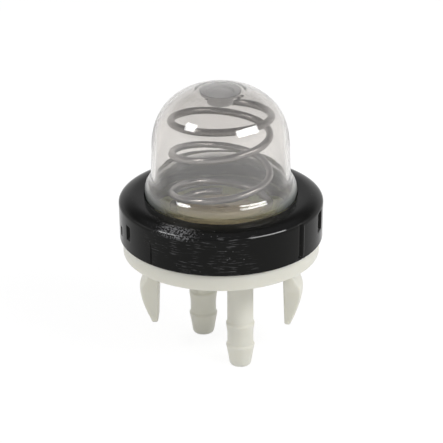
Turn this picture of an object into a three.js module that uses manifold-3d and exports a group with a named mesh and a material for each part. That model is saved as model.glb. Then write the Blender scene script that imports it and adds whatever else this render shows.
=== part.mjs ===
// Snap-in primer bulb for a small engine's carburettor.
// Millimetres, +Z up through the middle of the dome, origin at the centre of the
// base flange's underside, which is the face that sits on the panel.
// The two snap legs stand on the X axis.
import * as THREE from 'three';
import { mergeVertices } from 'three/addons/utils/BufferGeometryUtils.js';
import Module from 'manifold-3d';

const wasm = await Module();
wasm.setup();

// Clearances between pieces
const SEAT_GAP = 0.05;
const RADIAL_GAP = 0.1;
const VALVE_GAP = 0.08;

// Base: panel flange and the boss that stands up inside the ring
const FLANGE_RADIUS = 10.65;
const FLANGE_THICKNESS = 1.85;
const FLANGE_DRAFT = 0.1;
const FLANGE_ROUND = 0.3;
const FLANGE_TOP_ROUND = 0.15;
const UNDERSIDE_RECESS = 0.4;
const PAD_RADIUS = 2.2;
const SEAT_CLEARANCE = 0.1;

// Retaining ring
const RING_RADIUS = 11.0;
const RING_FOOT_INSET = 0.07;
const RING_HEIGHT = 4.8;
const RING_HOLE_RADIUS = 8.2;
const RING_LIP_THICKNESS = 1.3;
const RING_SKIRT_WALL = 1.7;
const RING_ROUND_WIDTH = 1.8;
const RING_ROUND_HEIGHT = 0.87;
const RING_HOLE_ROUND = 0.15;

// Marks moulded into the ring's skirt: angle from +X, width, and shares of the ring's height
const SKIRT_MARK_DEPTH = 0.2;
const SKIRT_MARKS = [
  { name: 'right flute', angle: -42.3, width: 0.55, from: 0.07, to: 0.85 },
  { name: 'right window', angle: -17.5, width: 1.3, from: 0.31, to: 0.77 },
  { name: 'left window', angle: 201.7, width: 0.8, from: 0.35, to: 0.58 },
  { name: 'left edge window', angle: 188.5, width: 0.8, from: 0.35, to: 0.58 },
];

// Dome
const DOME_RADIUS = 7.4;
const DOME_DRAFT = 0.1;
const DOME_WALL = 0.55;
const DOME_CROWN_WALL = 0.45;
const DOME_FLANGE_THICKNESS = 1.1;
const DOME_CROWN_HEIGHT = 7.07;
const DOME_CROWN_POWER = 2.357;
const DOME_BEAD_RADIUS = 8.15;
const DOME_BEAD_RISE = 0.35;
const DOME_FLARE_HEIGHT = 1.9;
const PEG_SHOULDER_RADIUS = 2.1;
const PEG_SHOULDER_DROP = 0.6;
const PEG_RADIUS = 1.4;
const PEG_DROP = 1.45;
const PEG_ROUND = 0.2;

// Return spring
const WIRE_DIAMETER = 0.8;
const COIL_RADIUS = 5.24;
const TOP_COIL_RADIUS = 5.38;
const SPRING_TURNS = 4.04;
const CLOSED_TURNS = 0.95;
const CLOSED_PITCH = 0.95;
const SPRING_HEIGHT = 11.2;
const SPRING_TOP_ANGLE = 103;
const SPRING_LEAN = 0.5;
const SPRING_LEAN_ANGLE = -87;
const SPRING_IN_CROWN = 4.05;
const WIRE_SIDES = 8;
const STEPS_PER_TURN = 28;

// Check valve: an umbrella over the inlet groove and a duckbill in the outlet well
const UMBRELLA_RADIUS = 4.65;
const UMBRELLA_EDGE = 0.35;
const UMBRELLA_HUB_HEIGHT = 0.9;
const VALVE_BORE_RADIUS = 0.9;
const VALVE_STEM_RADIUS = 1.5;
const VALVE_BEAD_RADIUS = 1.75;
const VALVE_BEAD_HEIGHT = 0.5;
const DUCKBILL_LENGTH = 1.2;
const DUCKBILL_TIP_THICKNESS = 0.55;
const DUCKBILL_SLIT = 0.12;

// Passages in the base
const WELL_RADIUS = 2.0;
const WELL_FLOOR = 0.95;
const HUB_WALL = 0.65;
const HUB_HEIGHT = 1.15;
const GROOVE_OUTER_RADIUS = 4.25;
const GROOVE_FLOOR = 2.7;
const PASSAGE_RADIUS = 0.5;

// Hose nipples
const NIPPLE_ANGLE = -60;
const NIPPLE_OFFSET = 4.44;
const NIPPLE_LENGTH = 11.8;
const NIPPLE_RADIUS = 1.42;
const NIPPLE_BORE_RADIUS = 0.65;
const NIPPLE_TIP_RADIUS = 1.22;
const NIPPLE_TIP_ROUND = 0.35;
const NIPPLE_ROOT_ROUND = 0.4;
const BARB_RADIUS = 1.6;
const BARB_SHOULDER = 0.3;
const BARB_CONE = 1.1;
const BARB_DEPTHS = [7.05, 9.45];

// Snap legs
const LEG_LENGTH = 7.95;
const LEG_INNER_RADIUS = 6.75;
const LEG_NECK_RADIUS = 7.8;
const LEG_NECK_DEPTH = 0.3;
const LEG_HOOK_RADIUS = 8.9;
const LEG_HOOK_DEPTH = 3.6;
const LEG_TIP_RADIUS = 7.55;
const LEG_TIP_ROUND = 0.3;
const LEG_TAPER_POWER = 1.6;
const LEG_WIDTH = 4.0;
const LEG_TIP_WIDTH = 2.4;

const ROUND_SIDES = 56;
const SMALL_SIDES = 24;
const OVERRUN = 1;

// Heights and radii that follow from the sizes above
const ringFoot = FLANGE_THICKNESS + SEAT_GAP;
const ringTop = ringFoot + RING_HEIGHT;
const ringLipUnderside = ringTop - RING_LIP_THICKNESS;
const ringCavityRadius = RING_RADIUS - RING_SKIRT_WALL;
const domeFlangeTop = ringLipUnderside - SEAT_GAP;
const domeFoot = domeFlangeTop - DOME_FLANGE_THICKNESS;
const deckTop = domeFoot - SEAT_GAP;
const valveSeat = deckTop + SEAT_GAP;
const hubRadius = VALVE_STEM_RADIUS + VALVE_GAP + HUB_WALL;
const hubUnderside = deckTop - HUB_HEIGHT;
const panelSeatInnerRadius = LEG_HOOK_RADIUS + SEAT_CLEARANCE;
const springBottom = deckTop + SEAT_GAP + WIRE_DIAMETER / 2;
const springTop = springBottom + SPRING_HEIGHT;
const domeStraightTop = springTop - SPRING_IN_CROWN;
const domeHeight = domeStraightTop + DOME_CROWN_HEIGHT;

function radians(degrees) {
  return THREE.MathUtils.degToRad(degrees);
}

function point(x, y) {
  return new THREE.Vector2(x, y);
}

// Closed surface of revolution about Z from (radius, height) points
function revolve(points, sides = ROUND_SIDES) {
  const geometry = new THREE.LatheGeometry(points, sides);
  return geometry.rotateX(Math.PI / 2);
}

// Solid from an outline, pushed out by a depth and centred on it
function extrude(points, depth) {
  const geometry = new THREE.ExtrudeGeometry(new THREE.Shape(points), { depth, bevelEnabled: false });
  return geometry.translate(0, 0, -depth / 2);
}

// Points along an ellipse about a centre, from one angle to another
function ellipseArc(centreX, centreY, radiusX, radiusY, from, to, steps) {
  const points = [];
  for (let i = 0; i <= steps; i += 1) {
    const angle = radians(THREE.MathUtils.lerp(from, to, i / steps));
    points.push(point(centreX + radiusX * Math.cos(angle), centreY + radiusY * Math.sin(angle)));
  }
  return points;
}

// Points along a circle about a centre, from one angle to another
function arc(centreX, centreY, radius, from, to, steps) {
  return ellipseArc(centreX, centreY, radius, radius, from, to, steps);
}

function toSolid(geometry) {
  const bare = geometry.index ? geometry.toNonIndexed() : geometry.clone();
  bare.deleteAttribute('normal');
  bare.deleteAttribute('uv');
  const merged = mergeVertices(bare, 1e-4);
  const triangles = [];
  for (let i = 0; i < merged.index.count; i += 3) {
    const corners = [merged.index.getX(i), merged.index.getX(i + 1), merged.index.getX(i + 2)];
    if (new Set(corners).size === 3) triangles.push(...corners);
  }
  return new wasm.Manifold(new wasm.Mesh({
    numProp: 3,
    vertProperties: new Float32Array(merged.attributes.position.array),
    triVerts: new Uint32Array(triangles),
  }));
}

function toGeometry(solid) {
  const mesh = solid.getMesh();
  const geometry = new THREE.BufferGeometry();
  geometry.setAttribute('position', new THREE.BufferAttribute(mesh.vertProperties, 3));
  geometry.setIndex(new THREE.BufferAttribute(mesh.triVerts, 1));
  geometry.computeVertexNormals();
  return geometry;
}

// Upright cylinder between two heights
function cylinder(radius, low, high, sides = SMALL_SIDES) {
  return revolve([point(0, low), point(radius, low), point(radius, high), point(0, high)], sides);
}

// Dome

// Crown of the dome, a quarter superellipse from its side up, without its top point
function crownOutline(steps) {
  const points = [];
  for (let i = 0; i < steps; i += 1) {
    const angle = (i / steps) * Math.PI / 2;
    const r = DOME_RADIUS * Math.cos(angle) ** (2 / DOME_CROWN_POWER);
    const rise = DOME_CROWN_HEIGHT * Math.sin(angle) ** (2 / DOME_CROWN_POWER);
    points.push(point(r, domeStraightTop + rise));
  }
  return points;
}

// S-shaped blend from one radius at the foot to another at the top
function flareOutline(footRadius, topRadius, low, high, steps) {
  const points = [];
  for (let i = 0; i <= steps; i += 1) {
    const t = i / steps;
    const blend = t * t * (3 - 2 * t);
    const r = THREE.MathUtils.lerp(footRadius, topRadius, blend);
    points.push(point(r, THREE.MathUtils.lerp(low, high, t)));
  }
  return points;
}

// Outside of the dome above the ring, from the bead up to just below the top
function domeShownOutline() {
  const beadTop = ringTop + DOME_BEAD_RISE;
  const flareTop = beadTop + DOME_FLARE_HEIGHT;
  return [
    ...flareOutline(DOME_BEAD_RADIUS, DOME_RADIUS + DOME_DRAFT, beadTop, flareTop, 6),
    ...crownOutline(12),
  ];
}

// Outside of the dome's foot, which the ring's lip clamps
function domeFootOutline() {
  const flangeRadius = ringCavityRadius - RADIAL_GAP;
  const neckRadius = RING_HOLE_RADIUS - RADIAL_GAP;
  return [
    point(flangeRadius, domeFoot),
    point(flangeRadius, domeFlangeTop),
    point(neckRadius, domeFlangeTop),
    point(neckRadius, ringTop),
  ];
}

// The wall thins evenly from the side to the crown, so the bead's inside follows its outside
function domeWall(height) {
  const share = THREE.MathUtils.smoothstep(height, domeStraightTop, springTop);
  return THREE.MathUtils.lerp(DOME_WALL, DOME_CROWN_WALL, share);
}

// Inside of the dome: the shown outline moved in along its own normals
function domeInnerOutline(shown) {
  return shown.map((p, i) => {
    const before = shown[Math.max(i - 1, 0)];
    const after = shown[Math.min(i + 1, shown.length - 1)];
    const along = after.clone().sub(before).normalize();
    const wall = domeWall(p.y);
    return point(p.x - along.y * wall, p.y + along.x * wall);
  });
}

// Stepped peg that hangs in the crown, from its end up to its shoulder
function pegOutline() {
  const crownUnderside = domeHeight - DOME_CROWN_WALL;
  const pegEnd = crownUnderside - PEG_DROP;
  const shoulder = crownUnderside - PEG_SHOULDER_DROP;
  return [
    point(0, pegEnd),
    ...arc(PEG_RADIUS - PEG_ROUND, pegEnd + PEG_ROUND, PEG_ROUND, -90, 0, 3),
    point(PEG_RADIUS, shoulder),
    ...arc(PEG_SHOULDER_RADIUS - PEG_ROUND, shoulder + PEG_ROUND, PEG_ROUND, -90, 0, 3),
  ];
}

function makeDome() {
  const shown = domeShownOutline();
  const inner = domeInnerOutline(shown).filter((p) => p.x > PEG_SHOULDER_RADIUS);
  return revolve([
    ...pegOutline(),
    ...inner.reverse(),
    point(DOME_BEAD_RADIUS - DOME_WALL, domeFoot),
    ...domeFootOutline(),
    ...shown,
    point(0, domeHeight),
  ]);
}

// Retaining ring

function ringOutline() {
  const footRadius = RING_RADIUS - RING_FOOT_INSET;
  const roundRadius = RING_RADIUS - RING_ROUND_WIDTH;
  const roundFoot = ringTop - RING_ROUND_HEIGHT;
  const holeRoundRadius = RING_HOLE_RADIUS + RING_HOLE_ROUND;
  const outline = [
    point(ringCavityRadius, ringFoot),
    point(footRadius, ringFoot),
    ...ellipseArc(roundRadius, roundFoot, RING_ROUND_WIDTH, RING_ROUND_HEIGHT, 0, 90, 7),
    ...arc(holeRoundRadius, ringTop - RING_HOLE_ROUND, RING_HOLE_ROUND, 90, 180, 2),
    point(RING_HOLE_RADIUS, ringLipUnderside),
    point(ringCavityRadius, ringLipUnderside),
  ];
  return [...outline, outline[0].clone()];
}

function skirtMark({ angle, width, from, to }) {
  const height = RING_HEIGHT * (to - from);
  const cutter = new THREE.BoxGeometry(2 * SKIRT_MARK_DEPTH + OVERRUN, width, height);
  cutter.translate(RING_RADIUS + OVERRUN / 2, 0, ringFoot + RING_HEIGHT * (from + to) / 2);
  return toSolid(cutter.rotateZ(radians(angle)));
}

function makeRing() {
  let ring = toSolid(revolve(ringOutline()));
  for (const mark of SKIRT_MARKS) ring = ring.subtract(skirtMark(mark));
  return toGeometry(ring);
}

// Base

// Section of the flange and boss: a cored underside with a seat ring and a middle pad,
// then the rim, the boss, the inlet groove and the stepped well for the duckbill
function deckOutline() {
  const bossRadius = ringCavityRadius - RADIAL_GAP;
  const holeRadius = VALVE_STEM_RADIUS + VALVE_GAP;
  const rimRadius = FLANGE_RADIUS - FLANGE_DRAFT;
  return [
    point(0, 0),
    point(PAD_RADIUS, 0),
    point(PAD_RADIUS, UNDERSIDE_RECESS),
    point(panelSeatInnerRadius, UNDERSIDE_RECESS),
    point(panelSeatInnerRadius, 0),
    ...arc(rimRadius - FLANGE_ROUND, FLANGE_ROUND, FLANGE_ROUND, -90, 0, 4),
    ...arc(FLANGE_RADIUS - FLANGE_TOP_ROUND, FLANGE_THICKNESS - FLANGE_TOP_ROUND, FLANGE_TOP_ROUND, 0, 90, 3),
    point(bossRadius, FLANGE_THICKNESS),
    point(bossRadius, deckTop),
    point(GROOVE_OUTER_RADIUS, deckTop),
    point(GROOVE_OUTER_RADIUS, GROOVE_FLOOR),
    point(hubRadius, GROOVE_FLOOR),
    point(hubRadius, deckTop),
    point(holeRadius, deckTop),
    point(holeRadius, hubUnderside),
    point(WELL_RADIUS, hubUnderside),
    point(WELL_RADIUS, WELL_FLOOR),
    point(0, WELL_FLOOR),
  ];
}

// Outline of one nipple from its buried root to its open tip, with barbs facing the flange
function nippleOutline() {
  const tip = -NIPPLE_LENGTH;
  const rootRadius = NIPPLE_RADIUS + NIPPLE_ROOT_ROUND;
  const outline = [point(0, FLANGE_THICKNESS / 2), point(rootRadius, FLANGE_THICKNESS / 2)];
  outline.push(...arc(rootRadius, UNDERSIDE_RECESS - NIPPLE_ROOT_ROUND, NIPPLE_ROOT_ROUND, 90, 180, 3));
  for (const depth of BARB_DEPTHS) {
    outline.push(point(NIPPLE_RADIUS, -depth + BARB_SHOULDER));
    outline.push(point(BARB_RADIUS, -depth));
    outline.push(point(NIPPLE_RADIUS, -depth - BARB_CONE));
  }
  const tipFlatRadius = NIPPLE_TIP_RADIUS - NIPPLE_TIP_ROUND;
  outline.push(...arc(tipFlatRadius, tip + NIPPLE_TIP_ROUND, NIPPLE_TIP_ROUND, 0, -90, 4));
  outline.push(point(0, tip));
  return outline.reverse();
}

// The far nipple is the outlet, joined to the duckbill's well by a cross passage.
// The near one is the inlet, which opens into the groove under the umbrella.
function addNipple(base, angle, boreTop) {
  const offset = point(NIPPLE_OFFSET, 0).rotateAround(point(0, 0), radians(angle));
  const nipple = revolve(nippleOutline(), SMALL_SIDES).translate(offset.x, offset.y, 0);
  const bore = cylinder(NIPPLE_BORE_RADIUS, -NIPPLE_LENGTH - OVERRUN, boreTop, 16);
  bore.translate(offset.x, offset.y, 0);
  return base.add(toSolid(nipple)).subtract(toSolid(bore));
}

function outletPassage(angle) {
  const passage = cylinder(PASSAGE_RADIUS, 0, NIPPLE_OFFSET, 12);
  passage.rotateY(Math.PI / 2).translate(0, 0, WELL_FLOOR + PASSAGE_RADIUS);
  return toSolid(passage.rotateZ(radians(angle)));
}

// Side view of the leg from its tip up to its root, as seen along Y: a long curved ramp
// up to the hook, and a soft step back in to the neck
function legOutline() {
  const tip = -LEG_LENGTH;
  const outline = [point(0, tip)];
  outline.push(...arc(LEG_TIP_RADIUS - LEG_TIP_ROUND, tip + LEG_TIP_ROUND, LEG_TIP_ROUND, -90, -20, 3));
  const rampTop = -LEG_HOOK_DEPTH;
  for (let i = 1; i < 9; i += 1) {
    const share = 1 - i / 9;
    const height = THREE.MathUtils.lerp(rampTop, tip + LEG_TIP_ROUND, share);
    const fall = (LEG_HOOK_RADIUS - LEG_TIP_RADIUS) * share ** LEG_TAPER_POWER;
    outline.push(point(LEG_HOOK_RADIUS - fall, height));
  }
  outline.push(...flareOutline(LEG_HOOK_RADIUS, LEG_NECK_RADIUS, rampTop, -LEG_NECK_DEPTH, 7));
  outline.push(point(LEG_NECK_RADIUS, FLANGE_THICKNESS / 2), point(0, FLANGE_THICKNESS / 2));
  return outline;
}

// Leg plan: flat inner face, sides that draw in towards the tip, outer face round about Z
function addLeg(base, angle) {
  const turned = toSolid(revolve(legOutline()));
  const reach = LEG_HOOK_RADIUS + OVERRUN;
  const side = extrude([
    point(-LEG_TIP_WIDTH / 2, -LEG_LENGTH),
    point(LEG_TIP_WIDTH / 2, -LEG_LENGTH),
    point(LEG_WIDTH / 2, -LEG_HOOK_DEPTH),
    point(LEG_WIDTH / 2, FLANGE_THICKNESS / 2),
    point(-LEG_WIDTH / 2, FLANGE_THICKNESS / 2),
    point(-LEG_WIDTH / 2, -LEG_HOOK_DEPTH),
  ], reach - LEG_INNER_RADIUS);
  side.rotateX(Math.PI / 2).rotateZ(Math.PI / 2).translate((LEG_INNER_RADIUS + reach) / 2, 0, 0);
  side.rotateZ(radians(angle));
  return base.add(turned.intersect(toSolid(side)));
}

function makeBase() {
  let base = toSolid(revolve(deckOutline()));
  base = addLeg(base, 0);
  base = addLeg(base, 180);
  base = addNipple(base, NIPPLE_ANGLE, GROOVE_FLOOR + NIPPLE_BORE_RADIUS);
  base = addNipple(base, NIPPLE_ANGLE + 180, WELL_FLOOR + 2 * PASSAGE_RADIUS);
  base = base.subtract(outletPassage(NIPPLE_ANGLE + 180));
  return toGeometry(base);
}

// Return spring

// Right-hand coil that runs down from its top end, with closed turns at both ends.
// Its seat in the crown tips the upper coils, so they lean and the bottom one lies flat.
class SpringPath extends THREE.Curve {
  getPoint(t, target = new THREE.Vector3()) {
    const turn = t * SPRING_TURNS;
    const openTurns = SPRING_TURNS - 2 * CLOSED_TURNS;
    const openPitch = (SPRING_HEIGHT - 2 * CLOSED_TURNS * CLOSED_PITCH) / openTurns;
    const opened = THREE.MathUtils.clamp(turn - CLOSED_TURNS, 0, openTurns);
    const drop = (turn - opened) * CLOSED_PITCH + opened * openPitch;
    const radius = THREE.MathUtils.lerp(TOP_COIL_RADIUS, COIL_RADIUS, Math.min(turn / CLOSED_TURNS, 1));
    const angle = radians(SPRING_TOP_ANGLE) - turn * 2 * Math.PI;
    const lean = SPRING_LEAN * (1 - drop / SPRING_HEIGHT) * Math.cos(angle - radians(SPRING_LEAN_ANGLE));
    return target.set(radius * Math.cos(angle), radius * Math.sin(angle), springTop - drop + lean);
  }
}

function makeSpring() {
  const lastCorner = 360 * (1 - 1 / WIRE_SIDES);
  const section = arc(0, 0, WIRE_DIAMETER / 2, 0, lastCorner, WIRE_SIDES - 1);
  return new THREE.ExtrudeGeometry(new THREE.Shape(section), {
    steps: Math.round(SPRING_TURNS * STEPS_PER_TURN),
    extrudePath: new SpringPath(),
    bevelEnabled: false,
  });
}

// Check valve

function valveOutline() {
  const top = valveSeat + UMBRELLA_HUB_HEIGHT;
  const beadTop = hubUnderside - SEAT_GAP;
  const tailTop = beadTop - VALVE_BEAD_HEIGHT;
  return [
    point(0, tailTop - DUCKBILL_LENGTH),
    point(VALVE_STEM_RADIUS, tailTop - DUCKBILL_LENGTH),
    point(VALVE_STEM_RADIUS, tailTop),
    point(VALVE_BEAD_RADIUS, beadTop - VALVE_BEAD_HEIGHT / 3),
    point(VALVE_BEAD_RADIUS, beadTop),
    point(VALVE_STEM_RADIUS, beadTop),
    point(VALVE_STEM_RADIUS, valveSeat),
    point(UMBRELLA_RADIUS, valveSeat),
    ...flareOutline(UMBRELLA_RADIUS, VALVE_STEM_RADIUS, valveSeat + UMBRELLA_EDGE, top, 5),
    point(0, top),
  ];
}

// Wedge along Y whose width across X falls from the top to the bottom
function wedge(topWidth, bottomWidth, low, high) {
  const outline = [
    point(-bottomWidth / 2, low),
    point(bottomWidth / 2, low),
    point(topWidth / 2, high),
    point(-topWidth / 2, high),
  ];
  return toSolid(extrude(outline, 4 * VALVE_STEM_RADIUS).rotateX(Math.PI / 2));
}

function makeValve() {
  const top = valveSeat + UMBRELLA_HUB_HEIGHT;
  const tailTop = hubUnderside - SEAT_GAP - VALVE_BEAD_HEIGHT;
  const tip = tailTop - DUCKBILL_LENGTH;
  const wide = 2 * UMBRELLA_RADIUS + OVERRUN;
  const body = toSolid(revolve(valveOutline(), 40));
  const tailForm = wedge(2 * VALVE_STEM_RADIUS, DUCKBILL_TIP_THICKNESS, tip, tailTop);
  const aboveTail = toSolid(new THREE.BoxGeometry(wide, wide, top - tailTop + OVERRUN)
    .translate(0, 0, tailTop + (top - tailTop + OVERRUN) / 2));
  const bore = toSolid(cylinder(VALVE_BORE_RADIUS, tip - OVERRUN, top + OVERRUN));
  const lips = wedge(2 * VALVE_BORE_RADIUS, DUCKBILL_SLIT, tip - SEAT_GAP, tailTop);
  const boreAbove = bore.intersect(aboveTail.add(lips));
  return toGeometry(body.intersect(aboveTail.add(tailForm)).subtract(boreAbove));
}

// Materials

const clearElastomer = new THREE.MeshStandardMaterial({
  color: '#d9d4cb', roughness: 0.15, metalness: 0, transparent: true, opacity: 0.4,
});
const blackPlastic = new THREE.MeshStandardMaterial({ color: '#141416', roughness: 0.2, metalness: 0 });
const milkyNylon = new THREE.MeshStandardMaterial({ color: '#d4d2c6', roughness: 0.45, metalness: 0 });
const springSteel = new THREE.MeshStandardMaterial({ color: '#8f8f92', roughness: 0.25, metalness: 1 });
const valveRubber = new THREE.MeshStandardMaterial({ color: '#8c8a58', roughness: 0.5, metalness: 0 });

function piece(name, geometry, material) {
  const mesh = new THREE.Mesh(geometry, material);
  mesh.name = name;
  return mesh;
}

const primerBulb = new THREE.Group();
primerBulb.add(
  piece('base', makeBase(), milkyNylon),
  piece('retaining_ring', makeRing(), blackPlastic),
  piece('dome_bulb', makeDome(), clearElastomer),
  piece('return_spring', makeSpring(), springSteel),
  piece('check_valve', makeValve(), valveRubber),
);

export default primerBulb;
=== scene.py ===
# Snap-in primer bulb: clear dome over a return spring, black retaining ring, milky base
# with two barbed hose nipples and two snap legs. Sizes are in millimetres until a mesh is made.
import math
import bmesh
import bpy
from mathutils import Matrix, Quaternion, Vector


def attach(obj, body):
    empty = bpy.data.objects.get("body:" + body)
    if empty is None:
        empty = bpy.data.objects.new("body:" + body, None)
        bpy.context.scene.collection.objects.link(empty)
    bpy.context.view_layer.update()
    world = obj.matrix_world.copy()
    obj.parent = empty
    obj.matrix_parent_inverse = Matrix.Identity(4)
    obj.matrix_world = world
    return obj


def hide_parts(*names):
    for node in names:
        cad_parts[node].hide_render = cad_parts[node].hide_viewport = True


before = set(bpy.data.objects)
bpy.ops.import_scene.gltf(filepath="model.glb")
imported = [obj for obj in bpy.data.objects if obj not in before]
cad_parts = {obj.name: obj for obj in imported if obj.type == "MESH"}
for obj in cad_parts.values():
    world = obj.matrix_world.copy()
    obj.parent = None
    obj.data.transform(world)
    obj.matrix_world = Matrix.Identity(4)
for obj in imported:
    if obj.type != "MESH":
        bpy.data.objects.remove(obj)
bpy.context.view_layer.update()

MM = 0.001
TURN = 2 * math.pi

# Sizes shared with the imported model
FLANGE_THICKNESS = 1.85
FLANGE_RADIUS = 10.65
RING_FOOT = 1.9
RING_TOP = 6.7
RING_RADIUS = 11.0
RING_HOLE_RADIUS = 8.2
CAVITY_RADIUS = 9.3
LIP_UNDERSIDE = 5.4
DECK_TOP = 4.2
DOME_FOOT = 4.25
DOME_RADIUS = 7.4
DOME_STRAIGHT_TOP = 11.8
DOME_HEIGHT = 18.87
FLOOR_HEIGHT = -11.8

# Side of the part that the photo shows, in degrees about Z
FRONT_ANGLE = -87


# Node building

class Value:
    """A node's output, so that masks and sums are written as plain expressions."""

    def __init__(self, builder, socket):
        self.builder = builder
        self.socket = socket

    def math(self, operation, *others):
        return self.builder.node("ShaderNodeMath", {"operation": operation}, [self, *others])

    def __add__(self, other):
        return self.math("ADD", other)

    def __sub__(self, other):
        return self.math("SUBTRACT", other)

    def __rsub__(self, other):
        return self.builder.node("ShaderNodeMath", {"operation": "SUBTRACT"}, [other, self])

    def __mul__(self, other):
        return self.math("MULTIPLY", other)

    def __truediv__(self, other):
        return self.math("DIVIDE", other)

    __radd__ = __add__
    __rmul__ = __mul__


class Builder:
    """Adds nodes to one tree, settings first and then values or links."""

    def __init__(self, tree):
        self.tree = tree

    def node(self, kind, settings=None, values=None, output=0):
        made = self.tree.nodes.new(kind)
        for name, setting in (settings or {}).items():
            setattr(made, name, setting)
        pairs = enumerate(values) if isinstance(values, list) else (values or {}).items()
        for name, value in pairs:
            if isinstance(value, Value):
                self.tree.links.new(value.socket, made.inputs[name])
            else:
                made.inputs[name].default_value = value
        return Value(self, made.outputs[output]) if made.outputs else None

    def smooth(self, value, low, high):
        """Nought below low, one above high, and a soft step between."""
        settings = {"interpolation_type": "SMOOTHSTEP"}
        return self.node("ShaderNodeMapRange", settings, {"Value": value, 1: low, 2: high})

    def band(self, value, middle, half_width, soft):
        """One within half_width of the middle, fading to nought over the soft distance."""
        away = (value - middle).math("ABSOLUTE")
        return 1 - self.smooth(away, half_width, half_width + soft)

    def mix(self, factor, first, second):
        settings = {"data_type": "RGBA"}
        values = {0: factor, 6: first, 7: second}
        return self.node("ShaderNodeMix", settings, values, output=2)


def rgb(red, green, blue):
    return (red, green, blue, 1)


class Finish(Builder):
    """A procedural material laid out on Object coordinates."""

    def __init__(self, name):
        self.material = bpy.data.materials.new(name)
        self.material.use_nodes = True
        super().__init__(self.material.node_tree)
        self.tree.nodes.clear()
        self.place = self.node("ShaderNodeTexCoord", output="Object")
        self.x = self.node("ShaderNodeSeparateXYZ", None, [self.place], output=0)
        self.y = self.node("ShaderNodeSeparateXYZ", None, [self.place], output=1)
        self.z = self.node("ShaderNodeSeparateXYZ", None, [self.place], output=2)
        self.radius = (self.x * self.x + self.y * self.y).math("SQRT")
        self.angle = self.y.math("ARCTAN2", self.x)

    def above(self, low, high):
        """Nought below the first height in millimetres and one above the second."""
        return self.smooth(self.z, low * MM, high * MM)

    def outside(self, low, high):
        """Nought inside the first radius in millimetres and one outside the second."""
        return self.smooth(self.radius, low * MM, high * MM)

    def around(self, degrees, half_width, soft):
        """One about this angle in degrees; its half width and fade are in radians."""
        return self.band(self.angle, math.radians(degrees), half_width, soft)

    def noise(self, size, detail=2, place=None):
        """Noise whose spots are about this many metres across."""
        values = {"Vector": place or self.place, "Scale": 1 / size, "Detail": detail}
        return self.node("ShaderNodeTexNoise", None, values)

    def cells(self, size):
        """Distance from the nearest of points spread about this many metres apart."""
        values = {"Vector": self.place, "Scale": 1 / size}
        return self.node("ShaderNodeTexVoronoi", None, values)

    def round_place(self, along, across):
        """Coordinates that follow the skirt, stretched along it and across it."""
        girth = self.angle * (RING_RADIUS * MM * along)
        return self.node("ShaderNodeCombineXYZ", None, [girth, self.z * across, 0.0])

    def bump(self, height, distance, strength=1.0, normal=None):
        values = {"Height": height, "Distance": distance, "Strength": strength}
        if normal:
            values["Normal"] = normal
        return self.node("ShaderNodeBump", None, values)

    def surface(self, values):
        shader = self.node("ShaderNodeBsdfPrincipled", None, values)
        self.node("ShaderNodeOutputMaterial", None, {"Surface": shader})
        return self.material


# Finishes

def clear_elastomer():
    """Clear and glossy, a little cloudy all over, and milky in the thick peg and foot, whose colour is
    painted: painted shade at the back for the black ring seen through the wall, and a painted tan at the
    front for the valve seen through it.
    """
    finish = Finish("Clear elastomer")
    cloud = finish.noise(0.0045, 2)
    fine = finish.noise(0.0009, 3)
    dust = 1 - finish.smooth(finish.cells(0.0011), 0.03, 0.07)
    waves = finish.bump(cloud, 0.00004, 0.5)
    relief = finish.bump(fine, 0.000008, 0.5, waves)
    clear = finish.node("ShaderNodeBsdfPrincipled", None, {
        "Base Color": finish.mix(cloud, rgb(0.965, 0.955, 0.935), rgb(0.985, 0.955, 0.93)),
        "Roughness": 0.015 + fine * 0.05,
        "IOR": 1.43,
        "Transmission Weight": 1.0,
        "Coat Weight": finish.around(FRONT_ANGLE, 0.6, 0.3),
        "Coat Roughness": 0.03,
        "Normal": relief,
    })
    front = finish.around(FRONT_ANGLE, 0.5, 0.5)
    foot = 1 - finish.above(7.3, 8.6)
    crown = finish.above(13, 17.5)
    peg = finish.above(16.8, 16.9) * (1 - finish.outside(2.1, 2.2)) * (1 - finish.above(18.3, 18.6))
    grey = finish.mix(cloud, rgb(0.52, 0.53, 0.52), rgb(0.62, 0.57, 0.54))
    # Painted shade and tint on the foot: dark grey at the back for the black ring seen through the wall,
    # tan at the front for the valve seen through it.
    painted_foot_shade_and_tint = finish.mix(front, rgb(0.30, 0.315, 0.305), rgb(0.46, 0.415, 0.25))
    milky = finish.node("ShaderNodeBsdfPrincipled", None, {
        "Base Color": finish.mix(peg, finish.mix(foot, grey, painted_foot_shade_and_tint), rgb(0.80, 0.80, 0.80)),
        "Roughness": 0.25 + fine * 0.1,
        "IOR": 1.43,
        "Normal": relief,
    })
    # Share of that painted colour on the foot, larger at the back than at the front.
    painted_foot_share = foot * finish.above(6.4, 6.9) * (0.45 - front * 0.2)
    haze = 0.06 + cloud * 0.05 + painted_foot_share + crown * 0.08 + peg * 0.7 + dust * 0.1
    mixed = finish.node("ShaderNodeMixShader", None, [haze, clear, milky])
    finish.node("ShaderNodeOutputMaterial", None, {"Surface": mixed})
    return finish.material


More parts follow.
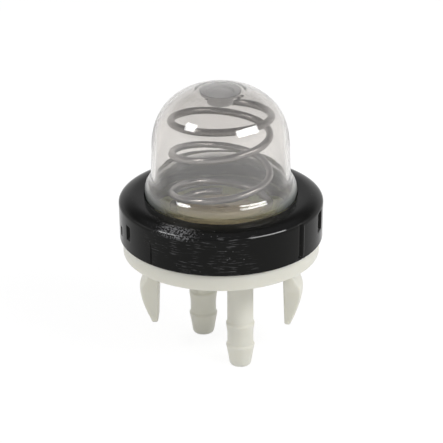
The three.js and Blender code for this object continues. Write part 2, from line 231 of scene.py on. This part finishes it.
def black_plastic():
    """Glossy black: short scuffs and specks on the front, and a patch of wear on the shoulder whose
    lighter flecks are a painted highlight.
    """
    finish = Finish("Glossy black plastic")
    front = finish.around(-97, 0.45, 0.25)
    skirt = finish.outside(10.6, 10.85)
    scuff_patch = finish.smooth(finish.noise(0.0035, 2), 0.40, 0.55)
    scuff_lines = finish.noise(0.001, 3, finish.round_place(0.8, 8.0))
    scuffs = finish.smooth(scuff_lines, 0.56, 0.66) * scuff_patch * front * skirt
    specks = (1 - finish.smooth(finish.cells(0.0007), 0.06, 0.13)) * scuff_patch
    grain = finish.noise(0.00022, 3)
    shoulder = finish.above(5.6, 6.0) * finish.outside(9.6, 9.9)
    worn_glint_patch = finish.around(-114, 0.06, 0.26)
    # Lighter flecks in the patch of wear: a painted highlight, set where the left softbox shines on the
    # shoulder.
    glint_pits = finish.smooth(grain + worn_glint_patch * 0.12, 0.58, 0.66) * worn_glint_patch
    rubbed = worn_glint_patch * shoulder * grain
    polish = finish.above(6.0, 6.15) * (1 - finish.above(6.45, 6.6))
    polish = polish * finish.around(FRONT_ANGLE, 0.75, 0.3) * (1 - glint_pits)
    # Scuffs and specks are the plastic's own marks; the flecks on the shoulder are painted highlight.
    marks_and_glints = scuffs * 0.38 + specks * front * 0.5 + glint_pits * shoulder * 0.9
    height = rubbed * 3.5 + scuffs * -0.25 + specks * 0.2
    waves = finish.bump(finish.noise(0.004, 2), 0.00003, 0.4)
    return finish.surface({
        "Base Color": finish.mix(marks_and_glints, rgb(0.007, 0.007, 0.0065), rgb(0.16, 0.16, 0.165)),
        "Roughness": 0.12 + finish.noise(0.002, 3) * 0.05 + scuffs * 0.3 + specks * 0.2 + rubbed * 0.25,
        "IOR": 1.5,
        "Specular IOR Level": 0.1,
        "Coat Weight": polish,
        "Coat Roughness": 0.06,
        "Normal": finish.bump(height, 0.00005, 0.6, waves),
    })


def milky_nylon():
    """Pale and a little see-through, with an olive tint on the deck under the dome."""
    finish = Finish("Milky nylon")
    cloud = finish.noise(0.004, 3)
    fine = finish.noise(0.0004, 3)
    plain = finish.mix(cloud, rgb(0.70, 0.69, 0.615), rgb(0.76, 0.75, 0.675))
    deck = finish.above(4.0, 4.2)
    # Olive tint on the deck under the dome, uneven in tone.
    uneven_tone = finish.mix(finish.noise(0.003, 3), rgb(0.62, 0.66, 0.30), rgb(0.80, 0.82, 0.46))
    colour = finish.mix(deck, plain, uneven_tone)
    return finish.surface({
        "Base Color": colour,
        "Roughness": 0.36 + fine * 0.12,
        "IOR": 1.5,
        "Subsurface Weight": 0.5,
        "Subsurface Radius": (1.0, 0.95, 0.8),
        "Subsurface Scale": 0.0012,
        "Normal": finish.bump(fine, 0.00002, 0.4),
    })


def spring_steel():
    """Drawn wire, unevenly darkened."""
    finish = Finish("Bright spring wire")
    uneven_tone = finish.noise(0.0016, 3)
    fine = finish.noise(0.00012, 2)
    colour = finish.mix(uneven_tone, rgb(0.20, 0.19, 0.19), rgb(0.34, 0.325, 0.315))
    return finish.surface({
        "Base Color": colour,
        "Metallic": 1.0,
        "Roughness": 0.16 + uneven_tone * 0.1,
        "Normal": finish.bump(fine, 0.000006, 0.5),
    })


def valve_rubber():
    """Satin fuel-proof rubber, olive to tan."""
    finish = Finish("Olive valve rubber")
    cloud = finish.noise(0.002, 3)
    fine = finish.noise(0.0002, 2)
    return finish.surface({
        "Base Color": finish.mix(cloud, rgb(0.56, 0.46, 0.27), rgb(0.64, 0.53, 0.34)),
        "Roughness": 0.42 + fine * 0.12,
        "Normal": finish.bump(fine, 0.00001, 0.5),
    })


def seen_directly(builder):
    """One for what the camera sees, also in gloss and through the dome."""
    camera = builder.node("ShaderNodeLightPath", output="Is Camera Ray")
    glossy = builder.node("ShaderNodeLightPath", output="Is Glossy Ray")
    through = builder.node("ShaderNodeLightPath", output="Is Transmission Ray")
    return camera.math("MAXIMUM", glossy).math("MAXIMUM", through)


def studio_floor():
    finish = Finish("White studio floor")
    paint = finish.mix(finish.noise(0.05, 2), rgb(0.86, 0.86, 0.86), rgb(0.88, 0.88, 0.88))
    matt = finish.node("ShaderNodeBsdfDiffuse", None, {"Color": paint})
    glow = finish.node("ShaderNodeEmission", None, {"Color": rgb(1, 1, 1), "Strength": 1.1})
    share = seen_directly(finish) * 0.8
    mixed = finish.node("ShaderNodeMixShader", None, [share, matt, glow])
    finish.node("ShaderNodeOutputMaterial", None, {"Surface": mixed})
    return finish.material


# Outlines

def rounded(corners, closed=False, steps=5):
    """Outline through (x, y, cut) corners, each cut back by its third number and curved over."""
    points = []
    count = len(corners)
    for i, (x, y, cut) in enumerate(corners):
        here = Vector((x, y))
        if not cut or (not closed and i in (0, count - 1)):
            points.append((x, y))
            continue
        before = Vector(corners[i - 1][:2])
        after = Vector(corners[(i + 1) % count][:2])
        start = here + (before - here).normalized() * cut
        end = here + (after - here).normalized() * cut
        for step in range(steps + 1):
            t = step / steps
            p = start * (1 - t) ** 2 + here * 2 * t * (1 - t) + end * t ** 2
            points.append((p.x, p.y))
    return points


def soft_step(value, low, high):
    t = max(0.0, min(1.0, (value - low) / (high - low)))
    return t * t * (3 - 2 * t)


def crown(radius, height, power, steps):
    """Quarter superellipse from the dome's side up to its top, without the top point."""
    points = []
    for i in range(steps):
        angle = i / steps * math.pi / 2
        r = radius * math.cos(angle) ** (2 / power)
        points.append((r, DOME_STRAIGHT_TOP + height * math.sin(angle) ** (2 / power)))
    return points


def flare(foot_radius, top_radius, low, high, steps):
    """S-shaped blend from one radius to another."""
    points = []
    for i in range(steps + 1):
        t = i / steps
        blend = t * t * (3 - 2 * t)
        points.append((foot_radius + (top_radius - foot_radius) * blend, low + (high - low) * t))
    return points


# Meshes

def finish_mesh(mesh, name, sharp_angle=40):
    bmesh.ops.remove_doubles(mesh, verts=mesh.verts, dist=1e-8)
    bmesh.ops.recalc_face_normals(mesh, faces=mesh.faces)
    data = bpy.data.meshes.new(name)
    mesh.to_mesh(data)
    mesh.free()
    data.shade_smooth()
    data.set_sharp_from_angle(angle=math.radians(sharp_angle))
    return data


def skin(rings, closed):
    """Mesh over rows of points; a row of one point is a pole, and closed joins last to first."""
    mesh = bmesh.new()
    rows = [[mesh.verts.new(Vector(p) * MM) for p in ring] for ring in rings]
    pairs = list(zip(rows, rows[1:]))
    if closed:
        pairs.append((rows[-1], rows[0]))
    for lower, upper in pairs:
        count = max(len(lower), len(upper))
        for i in range(count):
            j = (i + 1) % count
            below = [lower[i % len(lower)], lower[j % len(lower)]]
            above = [upper[j % len(upper)], upper[i % len(upper)]]
            mesh.faces.new(dict.fromkeys(below + above))
    if not closed:
        for row in (rows[0], rows[-1]):
            if len(row) > 2:
                mesh.faces.new(row)
    return mesh


def turn(outline, sides=192, closed=False, angles=None, centre=(0, 0)):
    """Surface of revolution about an upright axis from (radius, height) points."""
    angles = angles or [TURN * i / sides for i in range(sides)]
    rings = []
    for radius, height in outline:
        if radius < 1e-6:
            rings.append([(centre[0], centre[1], height)])
        else:
            rings.append([
                (centre[0] + radius * math.cos(a), centre[1] + radius * math.sin(a), height)
                for a in angles
            ])
    return skin(rings, closed)


def prism(outline, low, high):
    """Upright outline in X and Z, pushed out along Y between two distances."""
    return skin([[(x, y, z) for x, z in outline] for y in (low, high)], closed=False)


def hold(mesh, name, sharp_angle=40):
    """Object at the origin that carries this mesh."""
    made = bpy.data.objects.new(name, finish_mesh(mesh, name, sharp_angle))
    bpy.context.scene.collection.objects.link(made)
    return made


def evaluated(piece, name):
    """Plain mesh of a piece with its modifiers worked in; the modifiers are removed."""
    graph = bpy.context.evaluated_depsgraph_get()
    data = bpy.data.meshes.new_from_object(piece.evaluated_get(graph))
    piece.modifiers.clear()
    piece.data = data
    data.name = name
    return piece


def combine(piece, others, sharp_angle=35):
    """Joins or cuts a piece with (operation, mesh) pairs, one after another."""
    for operation, mesh in others:
        tool = hold(mesh, "tool")
        step = piece.modifiers.new(operation, "BOOLEAN")
        step.operation = operation
        step.solver = "MANIFOLD"
        step.object = tool
        evaluated(piece, piece.name)
        bpy.data.objects.remove(tool)
    piece.data.shade_smooth()
    piece.data.set_sharp_from_angle(angle=math.radians(sharp_angle))
    return piece


# Dome

DOME_WALL = 0.46
DOME_CROWN_WALL = 0.4
DOME_FOOT_RADIUS = 8.12
DOME_CLAMP_RADIUS = 9.2
CROWN_POWER = 2.357
PEG_RADIUS = 1.4
PEG_LENGTH = 1.45
PEG_COLLAR_RADIUS = 2.1
PEG_COLLAR_LENGTH = 0.6
SPRING_TOP = 15.85


def set_in(outline, thickness):
    """Outline moved inwards along its own normals by a thickness that depends on the height."""
    moved = []
    for i, (r, z) in enumerate(outline):
        before = Vector(outline[max(i - 1, 0)])
        after = Vector(outline[min(i + 1, len(outline) - 1)])
        along = (after - before).normalized()
        moved.append((r - along.y * thickness(z), z + along.x * thickness(z)))
    return moved


def dome_wall(height):
    share = soft_step(height, DOME_STRAIGHT_TOP, SPRING_TOP)
    return DOME_WALL + (DOME_CROWN_WALL - DOME_WALL) * share


def make_dome():
    underside = DOME_HEIGHT - DOME_CROWN_WALL
    peg = rounded([
        (0, underside - PEG_LENGTH, 0),
        (PEG_RADIUS, underside - PEG_LENGTH, 0.22),
        (PEG_RADIUS, underside - PEG_COLLAR_LENGTH, 0.12),
        (PEG_COLLAR_RADIUS, underside - PEG_COLLAR_LENGTH, 0.2),
        (PEG_COLLAR_RADIUS, underside - 0.14, 0.1),
        (PEG_COLLAR_RADIUS + 0.4, underside - 0.19, 0),
    ])
    shown = rounded([
        (DOME_FOOT_RADIUS, RING_TOP + 0.05, 0),
        (8.2, RING_TOP + 0.45, 0.2),
        (8.1, RING_TOP + 1.25, 0.42),
        (7.56, RING_TOP + 1.85, 0.36),
        (DOME_RADIUS + 0.08, RING_TOP + 2.7, 0.3),
        (DOME_RADIUS + 0.02, DOME_STRAIGHT_TOP - 0.8, 0),
    ], steps=8)
    shown += crown(DOME_RADIUS, DOME_HEIGHT - DOME_STRAIGHT_TOP, CROWN_POWER, 64)
    inner = [p for p in set_in(shown, dome_wall) if p[0] > PEG_COLLAR_RADIUS + 0.5]
    foot_radius = DOME_FOOT_RADIUS - DOME_WALL
    foot = rounded([
        (foot_radius, RING_TOP, 0),
        (foot_radius, DOME_FOOT, 0.2),
        (DOME_CLAMP_RADIUS, DOME_FOOT, 0.15),
        (DOME_CLAMP_RADIUS, LIP_UNDERSIDE - 0.05, 0.15),
        (8.1, LIP_UNDERSIDE - 0.05, 0.1),
        (8.1, RING_TOP, 0),
    ])
    outline = peg + inner[::-1] + foot + shown + [(0, DOME_HEIGHT)]
    return hold(turn(outline, 224), "dome_clear", 50)


# Retaining ring, with the marks of its skirt pressed in

SKIRT_MARKS = [
    {"angle": -37.2, "width": 0.6, "low": 0.35, "high": 4.1, "depth": 0.22},
    {"angle": -34.5, "width": 0.16, "low": 0.5, "high": 3.9, "depth": -0.05},
    {"angle": -13.3, "width": 1.4, "low": 1.7, "high": 3.8, "depth": 0.22},
    {"angle": 208.8, "width": 0.8, "low": 1.5, "high": 3.0, "depth": 0.22},
    {"angle": 196.7, "width": 0.55, "low": 1.1, "high": 2.0, "depth": 0.22},
]
KNIT_LINE_ANGLE = 230.5
KNIT_LINE_DEPTH = 0.12
SKIRT_DRAFT = 0.07
SHOULDER_HEIGHT = 0.87
SHOULDER_WIDTH = 1.8


def skirt_angles():
    """Angles round the ring, close together at its marks."""
    marks = [mark["angle"] % 360 for mark in SKIRT_MARKS] + [KNIT_LINE_ANGLE]
    angles = []
    angle = 0.0
    while angle < 359.99:
        angles.append(math.radians(angle))
        near = min(off_angle(angle, mark) for mark in marks)
        angle += 0.25 if near < 5 else 1.25
    return angles


def off_angle(angle, middle):
    """Degrees between two directions, whichever way round is shorter."""
    return abs((angle - middle + 180) % 360 - 180)


def press_marks(mesh):
    """Moves the skirt's points in at its marks and at its knit line."""
    for vert in mesh.verts:
        x, y, z = vert.co / MM
        radius = math.hypot(x, y)
        if radius < 10.6:
            continue
        angle = math.degrees(math.atan2(y, x))
        up = z - RING_FOOT
        depth = 0
        for mark in SKIRT_MARKS:
            away = off_angle(angle, mark["angle"]) * math.pi / 180 * radius
            inside = 1 - soft_step(away, mark["width"] / 2 - 0.08, mark["width"] / 2 + 0.06)
            inside *= soft_step(up, mark["low"] - 0.1, mark["low"] + 0.1)
            inside *= 1 - soft_step(up, mark["high"] - 0.1, mark["high"] + 0.1)
            depth += mark["depth"] * inside
        away = off_angle(angle, KNIT_LINE_ANGLE) * math.pi / 180 * radius
        half_line = (0.12 * (1 - soft_step(up, 0.3, 2.5)) + 0.01) / 2
        line = 1 - soft_step(away, half_line, half_line + 0.06)
        depth += KNIT_LINE_DEPTH * line * (1 - soft_step(up, 2.2, 2.6))
        shrink = (radius - depth) / radius
        vert.co.x *= shrink
        vert.co.y *= shrink


def make_ring():
    skirt_top = RING_TOP - SHOULDER_HEIGHT
    skirt_foot = RING_FOOT + 0.08
    foot_radius = RING_RADIUS - SKIRT_DRAFT
    skirt = []
    for i in range(33):
        t = i / 32
        skirt.append((foot_radius + SKIRT_DRAFT * t, skirt_foot + (skirt_top - skirt_foot) * t))
    shoulder = []
    for i in range(1, 19):
        angle = i / 18 * math.pi / 2
        radius = RING_RADIUS - SHOULDER_WIDTH + SHOULDER_WIDTH * math.cos(angle)
        shoulder.append((radius, skirt_top + SHOULDER_HEIGHT * math.sin(angle)))
    inside = rounded([
        (9.0, RING_TOP, 0),
        (RING_HOLE_RADIUS, RING_TOP, 0.15),
        (RING_HOLE_RADIUS, LIP_UNDERSIDE, 0.1),
        (CAVITY_RADIUS, LIP_UNDERSIDE, 0.1),
        (CAVITY_RADIUS, RING_FOOT, 0.1),
        (foot_radius - 0.1, RING_FOOT, 0),
    ])
    mesh = turn(skirt + shoulder + inside, closed=True, angles=skirt_angles())
    press_marks(mesh)
    return hold(mesh, "ring_black", 40)


# Base: flange with boss, legs and nipples in one moulding

LEG_LENGTH = 8.45
LEG_TIP_ROUND = 0.3
HOOK_DEPTH = 4.2
HOOK_RADIUS = 8.9
NECK_RADIUS = 7.8
NECK_DEPTH = 1.6
TIP_RADIUS = 7.7
LEG_INNER_RADIUS = 6.7
LEG_INNER_LEAN = 0.2
LEG_HALF_WIDTH = 2.0
LEG_TIP_NARROWING = 0.8
LEG_ROOT = 0.93


def leg_outside(height):
    """Radius of the leg's outside: a soft step out to the hook, then a long curved ramp."""
    if height > -HOOK_DEPTH:
        return NECK_RADIUS + (HOOK_RADIUS - NECK_RADIUS) * soft_step(-height, NECK_DEPTH, HOOK_DEPTH)
    share = (-height - HOOK_DEPTH) / (LEG_LENGTH - LEG_TIP_ROUND - HOOK_DEPTH)
    return HOOK_RADIUS - (HOOK_RADIUS - TIP_RADIUS) * share ** 1.5


def leg_section(height, inset):
    """Plan of the leg at one height: flat inside, sides, and an outside round about the dome's axis."""
    inner = LEG_INNER_RADIUS - LEG_INNER_LEAN * height / LEG_LENGTH + inset
    outer = leg_outside(max(height, -LEG_LENGTH + LEG_TIP_ROUND)) - inset
    taper = soft_step(-height, 3.8, LEG_LENGTH)
    half = LEG_HALF_WIDTH - LEG_TIP_NARROWING * taper - inset
    edge = math.sqrt(outer ** 2 - half ** 2)
    cut = min(0.22, (edge - inner) * 0.4)
    corners = [(inner, -half, cut), (edge, -half, cut)]
    for i in range(1, 8):
        y = -half + 2 * half * i / 8
        corners.append((math.sqrt(outer ** 2 - y ** 2), y, 0))
    corners += [(edge, half, cut), (inner, half, cut)]
    return [(x, y, height) for x, y in rounded(corners, closed=True, steps=4)]


def leg(side):
    """Snap leg on one side of the base, from its root in the flange down to its rounded tip."""
    reach = LEG_ROOT + LEG_LENGTH - LEG_TIP_ROUND
    rings = []
    for i in range(40):
        rings.append(leg_section(LEG_ROOT - reach * i / 39, 0))
    for i in range(1, 7):
        angle = i / 6 * math.pi / 2
        depth = LEG_LENGTH - LEG_TIP_ROUND * (1 - math.sin(angle))
        rings.append(leg_section(-depth, LEG_TIP_ROUND * (1 - math.cos(angle))))
    rings = [[(x * side, y * side, z) for x, y, z in ring] for ring in rings]
    return skin(rings, closed=False)


NIPPLE_ANGLE = -60
NIPPLE_OFFSET = 4.44
NIPPLE_RADIUS = 1.41
NIPPLE_TIP_RADIUS = 1.14
NIPPLE_ROOT_RADIUS = 1.81
NIPPLE_ROOT = 0.93
BARB_RADIUS = 1.55
LOWER_BARB = -9.38
UPPER_BARB = -6.8
BORE_RADIUS = 0.65


def nipple_centre(angle):
    return (NIPPLE_OFFSET * math.cos(math.radians(angle)), NIPPLE_OFFSET * math.sin(math.radians(angle)))


def nipple(angle):
    outline = rounded([
        (0, FLOOR_HEIGHT, 0),
        (NIPPLE_TIP_RADIUS, FLOOR_HEIGHT, 0.34),
        (1.38, -10.3, 0.4),
        (BARB_RADIUS, LOWER_BARB, 0.04),
        (NIPPLE_RADIUS, LOWER_BARB + 0.24, 0.05),
        (NIPPLE_RADIUS, -7.9, 0.4),
        (BARB_RADIUS, UPPER_BARB, 0.04),
        (NIPPLE_RADIUS, UPPER_BARB + 0.24, 0.05),
        (NIPPLE_RADIUS, 0.4, 0.35),
        (NIPPLE_ROOT_RADIUS, 0.4, 0),
        (NIPPLE_ROOT_RADIUS, NIPPLE_ROOT, 0),
        (0, NIPPLE_ROOT, 0),
    ])
    return turn(outline, 96, centre=nipple_centre(angle))


def bore(angle, low, high):
    """Hole through a nipple, a little wider at the mouth."""
    mouth = BORE_RADIUS + 0.12
    outline = [
        (0, low),
        (mouth, low),
        (mouth, FLOOR_HEIGHT - 0.01),
        (BORE_RADIUS, FLOOR_HEIGHT + 0.12),
        (BORE_RADIUS, high),
        (0, high),
    ]
    return turn(outline, 64, centre=nipple_centre(angle))


PAD_RADIUS = 2.2
CORE_HEIGHT = 0.4
SEAT_INNER_RADIUS = 9.0
SEAT_OUTER_RADIUS = 10.56
BOSS_RADIUS = 9.2
GROOVE_RADIUS = 4.25
GROOVE_FLOOR = 2.7
VALVE_SEAT_RADIUS = 2.23
VALVE_HOLE_RADIUS = 1.58
WELL_RADIUS = 2.0
WELL_TOP = 3.05
WELL_FLOOR = 0.95


def make_base():
    body = rounded([
        (0, 0, 0),
        (PAD_RADIUS, 0, 0.1),
        (PAD_RADIUS, CORE_HEIGHT, 0.08),
        (SEAT_INNER_RADIUS, CORE_HEIGHT, 0.08),
        (SEAT_INNER_RADIUS, 0, 0.08),
        (SEAT_OUTER_RADIUS, 0, 0.2),
        (FLANGE_RADIUS, FLANGE_THICKNESS, 0.14),
        (BOSS_RADIUS, FLANGE_THICKNESS, 0.08),
        (BOSS_RADIUS, DECK_TOP, 0.12),
        (GROOVE_RADIUS, DECK_TOP, 0.1),
        (GROOVE_RADIUS, GROOVE_FLOOR, 0.1),
        (VALVE_SEAT_RADIUS, GROOVE_FLOOR, 0.1),
        (VALVE_SEAT_RADIUS, DECK_TOP, 0.1),
        (VALVE_HOLE_RADIUS, DECK_TOP, 0.06),
        (VALVE_HOLE_RADIUS, WELL_TOP, 0.05),
        (WELL_RADIUS, WELL_TOP, 0.05),
        (WELL_RADIUS, WELL_FLOOR, 0.1),
        (0, WELL_FLOOR, 0),
    ])
    base = hold(turn(body, 224), "base_nylon")
    return combine(base, [
        ("UNION", leg(1)),
        ("UNION", leg(-1)),
        ("UNION", nipple(NIPPLE_ANGLE)),
        ("UNION", nipple(NIPPLE_ANGLE + 180)),
        ("DIFFERENCE", bore(NIPPLE_ANGLE, -13, 3.35)),
        ("DIFFERENCE", bore(NIPPLE_ANGLE + 180, -13, 1.95)),
    ])


# Return spring, drawn by Geometry Nodes along a rule: closed end turns and an open middle

SPRING = {
    "Wire diameter": 0.8,
    "Coil radius": 5.24,
    "Top coil radius": 5.38,
    "Height": 11.2,
    "Closed pitch": 0.95,
    "Bottom": 4.65,
    "Lean": 0.5,
}
SPRING_TURNS = 4.04
CLOSED_TURNS = 0.95
SPRING_TOP_ANGLE = 103
END_BLEND = 0.12
STEPS_PER_TURN = 96
WIRE_SIDES = 20


def spring_tree(material):
    tree = bpy.data.node_groups.new("Return spring", "GeometryNodeTree")
    names = {}
    for name in [*SPRING, "Turns", "Closed turns", "Top angle", "Lean angle"]:
        socket = tree.interface.new_socket(name=name, in_out="INPUT", socket_type="NodeSocketFloat")
        names[name] = socket.identifier
    tree.interface.new_socket(name="Geometry", in_out="OUTPUT", socket_type="NodeSocketGeometry")
    build = Builder(tree)
    group = tree.nodes.new("NodeGroupInput")
    size = {name: Value(build, group.outputs[name]) for name in names}
    steps = size["Turns"] * STEPS_PER_TURN
    line = build.node("GeometryNodeCurvePrimitiveLine")
    path = build.node("GeometryNodeResampleCurve", None, {"Curve": line, "Count": steps + 1})
    along = build.node("GeometryNodeInputIndex") / steps * size["Turns"]
    open_turns = size["Turns"] - size["Closed turns"] * 2
    closed_height = size["Closed turns"] * size["Closed pitch"] * 2
    open_pitch = (size["Height"] - closed_height) / open_turns
    opened = (along - size["Closed turns"]).math("SMOOTH_MAX", 0.0, END_BLEND)
    opened = opened.math("SMOOTH_MIN", open_turns, END_BLEND)
    drop = (along - opened) * size["Closed pitch"] + opened * open_pitch
    into = build.smooth(along, 0.0, size["Closed turns"])
    radius = size["Top coil radius"] + (size["Coil radius"] - size["Top coil radius"]) * into
    angle = size["Top angle"] - along * TURN
    risen = 1 - drop / size["Height"]
    lean = size["Lean"] * risen * (angle - size["Lean angle"]).math("COSINE")
    place = build.node("ShaderNodeCombineXYZ", None, [
        radius * angle.math("COSINE"),
        radius * angle.math("SINE"),
        size["Bottom"] + size["Height"] - drop + lean,
    ])
    wire = build.node("GeometryNodeSetPosition", None, {"Geometry": path, "Position": place})
    section = build.node("GeometryNodeCurvePrimitiveCircle", None, {
        "Resolution": WIRE_SIDES,
        "Radius": size["Wire diameter"] / 2,
    })
    coil = build.node("GeometryNodeCurveToMesh", None, {
        "Curve": wire,
        "Profile Curve": section,
        "Fill Caps": True,
    })
    real = build.node("GeometryNodeRealizeInstances", None, {"Geometry": coil})
    done = build.node("GeometryNodeSetMaterial", None, {"Geometry": real, "Material": material})
    build.node("NodeGroupOutput", None, [done])
    return tree, names


def make_spring(material):
    tree, names = spring_tree(material)
    spring = hold(bmesh.new(), "spring_wire")
    modifier = spring.modifiers.new("Coil", "NODES")
    modifier.node_group = tree
    for name, size in SPRING.items():
        modifier[names[name]] = size * MM
    modifier[names["Turns"]] = SPRING_TURNS
    modifier[names["Closed turns"]] = CLOSED_TURNS
    modifier[names["Top angle"]] = math.radians(SPRING_TOP_ANGLE)
    modifier[names["Lean angle"]] = math.radians(FRONT_ANGLE)
    evaluated(spring, "spring_wire")
    mesh = bmesh.new()
    mesh.from_mesh(spring.data)
    spring.data = finish_mesh(mesh, "spring_wire", 50)
    return spring


# Check valve: umbrella above the deck, duckbill in the well

VALVE_SEAT = 4.25
VALVE_STEM_RADIUS = 1.5
VALVE_BEAD_RADIUS = 1.75
VALVE_BEAD_TOP = 3.0
DUCKBILL_TOP = 2.5
DUCKBILL_LENGTH = 1.2
UMBRELLA_RADIUS = 4.65
UMBRELLA_HEIGHT = 0.9


def make_valve():
    tip = DUCKBILL_TOP - DUCKBILL_LENGTH
    top = VALVE_SEAT + UMBRELLA_HEIGHT
    outline = [
        (0, tip),
        (VALVE_STEM_RADIUS, tip),
        (VALVE_STEM_RADIUS, DUCKBILL_TOP),
        (VALVE_BEAD_RADIUS, VALVE_BEAD_TOP - 0.17),
        (VALVE_BEAD_RADIUS, VALVE_BEAD_TOP),
        (VALVE_STEM_RADIUS, VALVE_BEAD_TOP),
        (VALVE_STEM_RADIUS, VALVE_SEAT),
        (UMBRELLA_RADIUS - 0.1, VALVE_SEAT),
        (UMBRELLA_RADIUS, VALVE_SEAT + 0.08),
    ]
    outline += flare(UMBRELLA_RADIUS, VALVE_STEM_RADIUS, VALVE_SEAT + 0.3, top, 16)
    outline.append((0, top))
    valve = hold(turn(outline, 128), "valve_rubber")
    under = DUCKBILL_TOP - 0.01
    bore_outline = [(0, under), (0.9, under), (0.9, top + 1), (0, top + 1)]
    side = [(0.275, tip - 0.01), (VALVE_STEM_RADIUS, under), (3, under), (3, tip - 0.01)]
    slit = [
        (-0.06, tip - 0.1),
        (0.06, tip - 0.1),
        (0.9, DUCKBILL_TOP + 0.02),
        (-0.9, DUCKBILL_TOP + 0.02),
    ]
    return combine(valve, [
        ("DIFFERENCE", prism(side, -3, 3)),
        ("DIFFERENCE", prism([(-x, z) for x, z in side], -3, 3)),
        ("DIFFERENCE", turn(bore_outline, 64)),
        ("DIFFERENCE", prism(slit, -0.85, 0.85)),
    ])


# Camera, at the angle of the photo

CAMERA_AZIMUTH = 3
CAMERA_ELEVATION = 24.24
CAMERA_ROLL = -0.34
CAMERA_DISTANCE = 300
CAMERA_AIM_RIGHT = 0.045
CAMERA_AIM_HEIGHT = 3.32
PIXELS_PER_MM = 9.27
PHOTO_PIXELS = 443
SENSOR_WIDTH = 36
SOFTBOX_DISTANCE = 0.25


def make_camera():
    azimuth = math.radians(CAMERA_AZIMUTH)
    elevation = math.radians(CAMERA_ELEVATION)
    level = math.cos(elevation)
    ahead = Vector((-math.sin(azimuth) * level, math.cos(azimuth) * level, -math.sin(elevation)))
    right = Vector((math.cos(azimuth), math.sin(azimuth), 0))
    target = right * CAMERA_AIM_RIGHT * MM + Vector((0, 0, CAMERA_AIM_HEIGHT * MM))
    camera = bpy.data.objects.new("camera", bpy.data.cameras.new("camera"))
    bpy.context.scene.collection.objects.link(camera)
    up = right.cross(ahead)
    roll = Matrix.Rotation(math.radians(CAMERA_ROLL), 3, "Z")
    turned = Matrix((right, up, -ahead)).transposed() @ roll
    place = Matrix.Translation(target - ahead * CAMERA_DISTANCE * MM)
    camera.matrix_world = place @ turned.to_4x4()
    camera.data.sensor_width = SENSOR_WIDTH
    camera.data.lens = PIXELS_PER_MM * CAMERA_DISTANCE / PHOTO_PIXELS * SENSOR_WIDTH
    bpy.context.scene.camera = camera


def softbox(name, azimuth, elevation, roll, width, height, power):
    """Soft light, placed by degrees right of the front and degrees up, and turned by its roll."""
    lamp = bpy.data.lights.new(name, "AREA")
    lamp.shape = "RECTANGLE"
    lamp.size = width
    lamp.size_y = height
    lamp.energy = power
    made = bpy.data.objects.new(name, lamp)
    bpy.context.scene.collection.objects.link(made)
    a = math.radians(azimuth)
    e = math.radians(elevation)
    out = Vector((math.sin(a) * math.cos(e), -math.cos(a) * math.cos(e), math.sin(e)))
    made.location = out * SOFTBOX_DISTANCE + Vector((0, 0, 5 * MM))
    made.rotation_mode = "QUATERNION"
    spin = Quaternion((0, 0, 1), math.radians(roll))
    made.rotation_quaternion = out.to_track_quat("Z", "Y") @ spin


def make_world():
    world = bpy.data.worlds.new("Studio")
    bpy.context.scene.world = world
    world.use_nodes = True
    world.node_tree.nodes.clear()
    build = Builder(world.node_tree)
    ray = build.node("ShaderNodeTexCoord", output="Generated")
    up = build.node("ShaderNodeSeparateXYZ", None, [ray], output=2)
    ceiling = build.smooth(up, 0.25, 0.6)
    backdrop = build.mix(ceiling, rgb(1, 1, 1), rgb(0.12, 0.12, 0.13))
    glossy = build.node("ShaderNodeLightPath", output="Is Glossy Ray")
    shown = build.mix(glossy, rgb(1, 1, 1), backdrop)
    colour = build.mix(seen_directly(build), rgb(0.5, 0.5, 0.5), shown)
    light = build.node("ShaderNodeBackground", None, {"Color": colour, "Strength": 1.0})
    build.node("ShaderNodeOutputWorld", None, {"Surface": light})


def make_floor():
    mesh = bmesh.new()
    bmesh.ops.create_grid(mesh, x_segments=4, y_segments=4, size=3)
    bmesh.ops.translate(mesh, verts=mesh.verts, vec=(0, 0, (FLOOR_HEIGHT - 0.02) * MM))
    floor = hold(mesh, "floor")
    floor.data.materials.append(studio_floor())


def dress(piece, node, material):
    """Gives a piece its finish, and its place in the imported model."""
    piece.data.materials.clear()
    piece.data.materials.append(material)
    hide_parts(node)
    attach(piece, "root")


make_camera()
make_world()
make_floor()
softbox("right softbox", 62, 39, -12, 0.17, 0.06, 0.30)
softbox("left softbox", -68, 43, 22, 0.08, 0.065, 0.14)
bpy.context.scene.view_settings.view_transform = "Standard"

steel = spring_steel()
dress(make_base(), "base", milky_nylon())
dress(make_ring(), "retaining_ring", black_plastic())
dress(make_dome(), "dome_bulb", clear_elastomer())
dress(make_spring(steel), "return_spring", steel)
dress(make_valve(), "check_valve", valve_rubber())
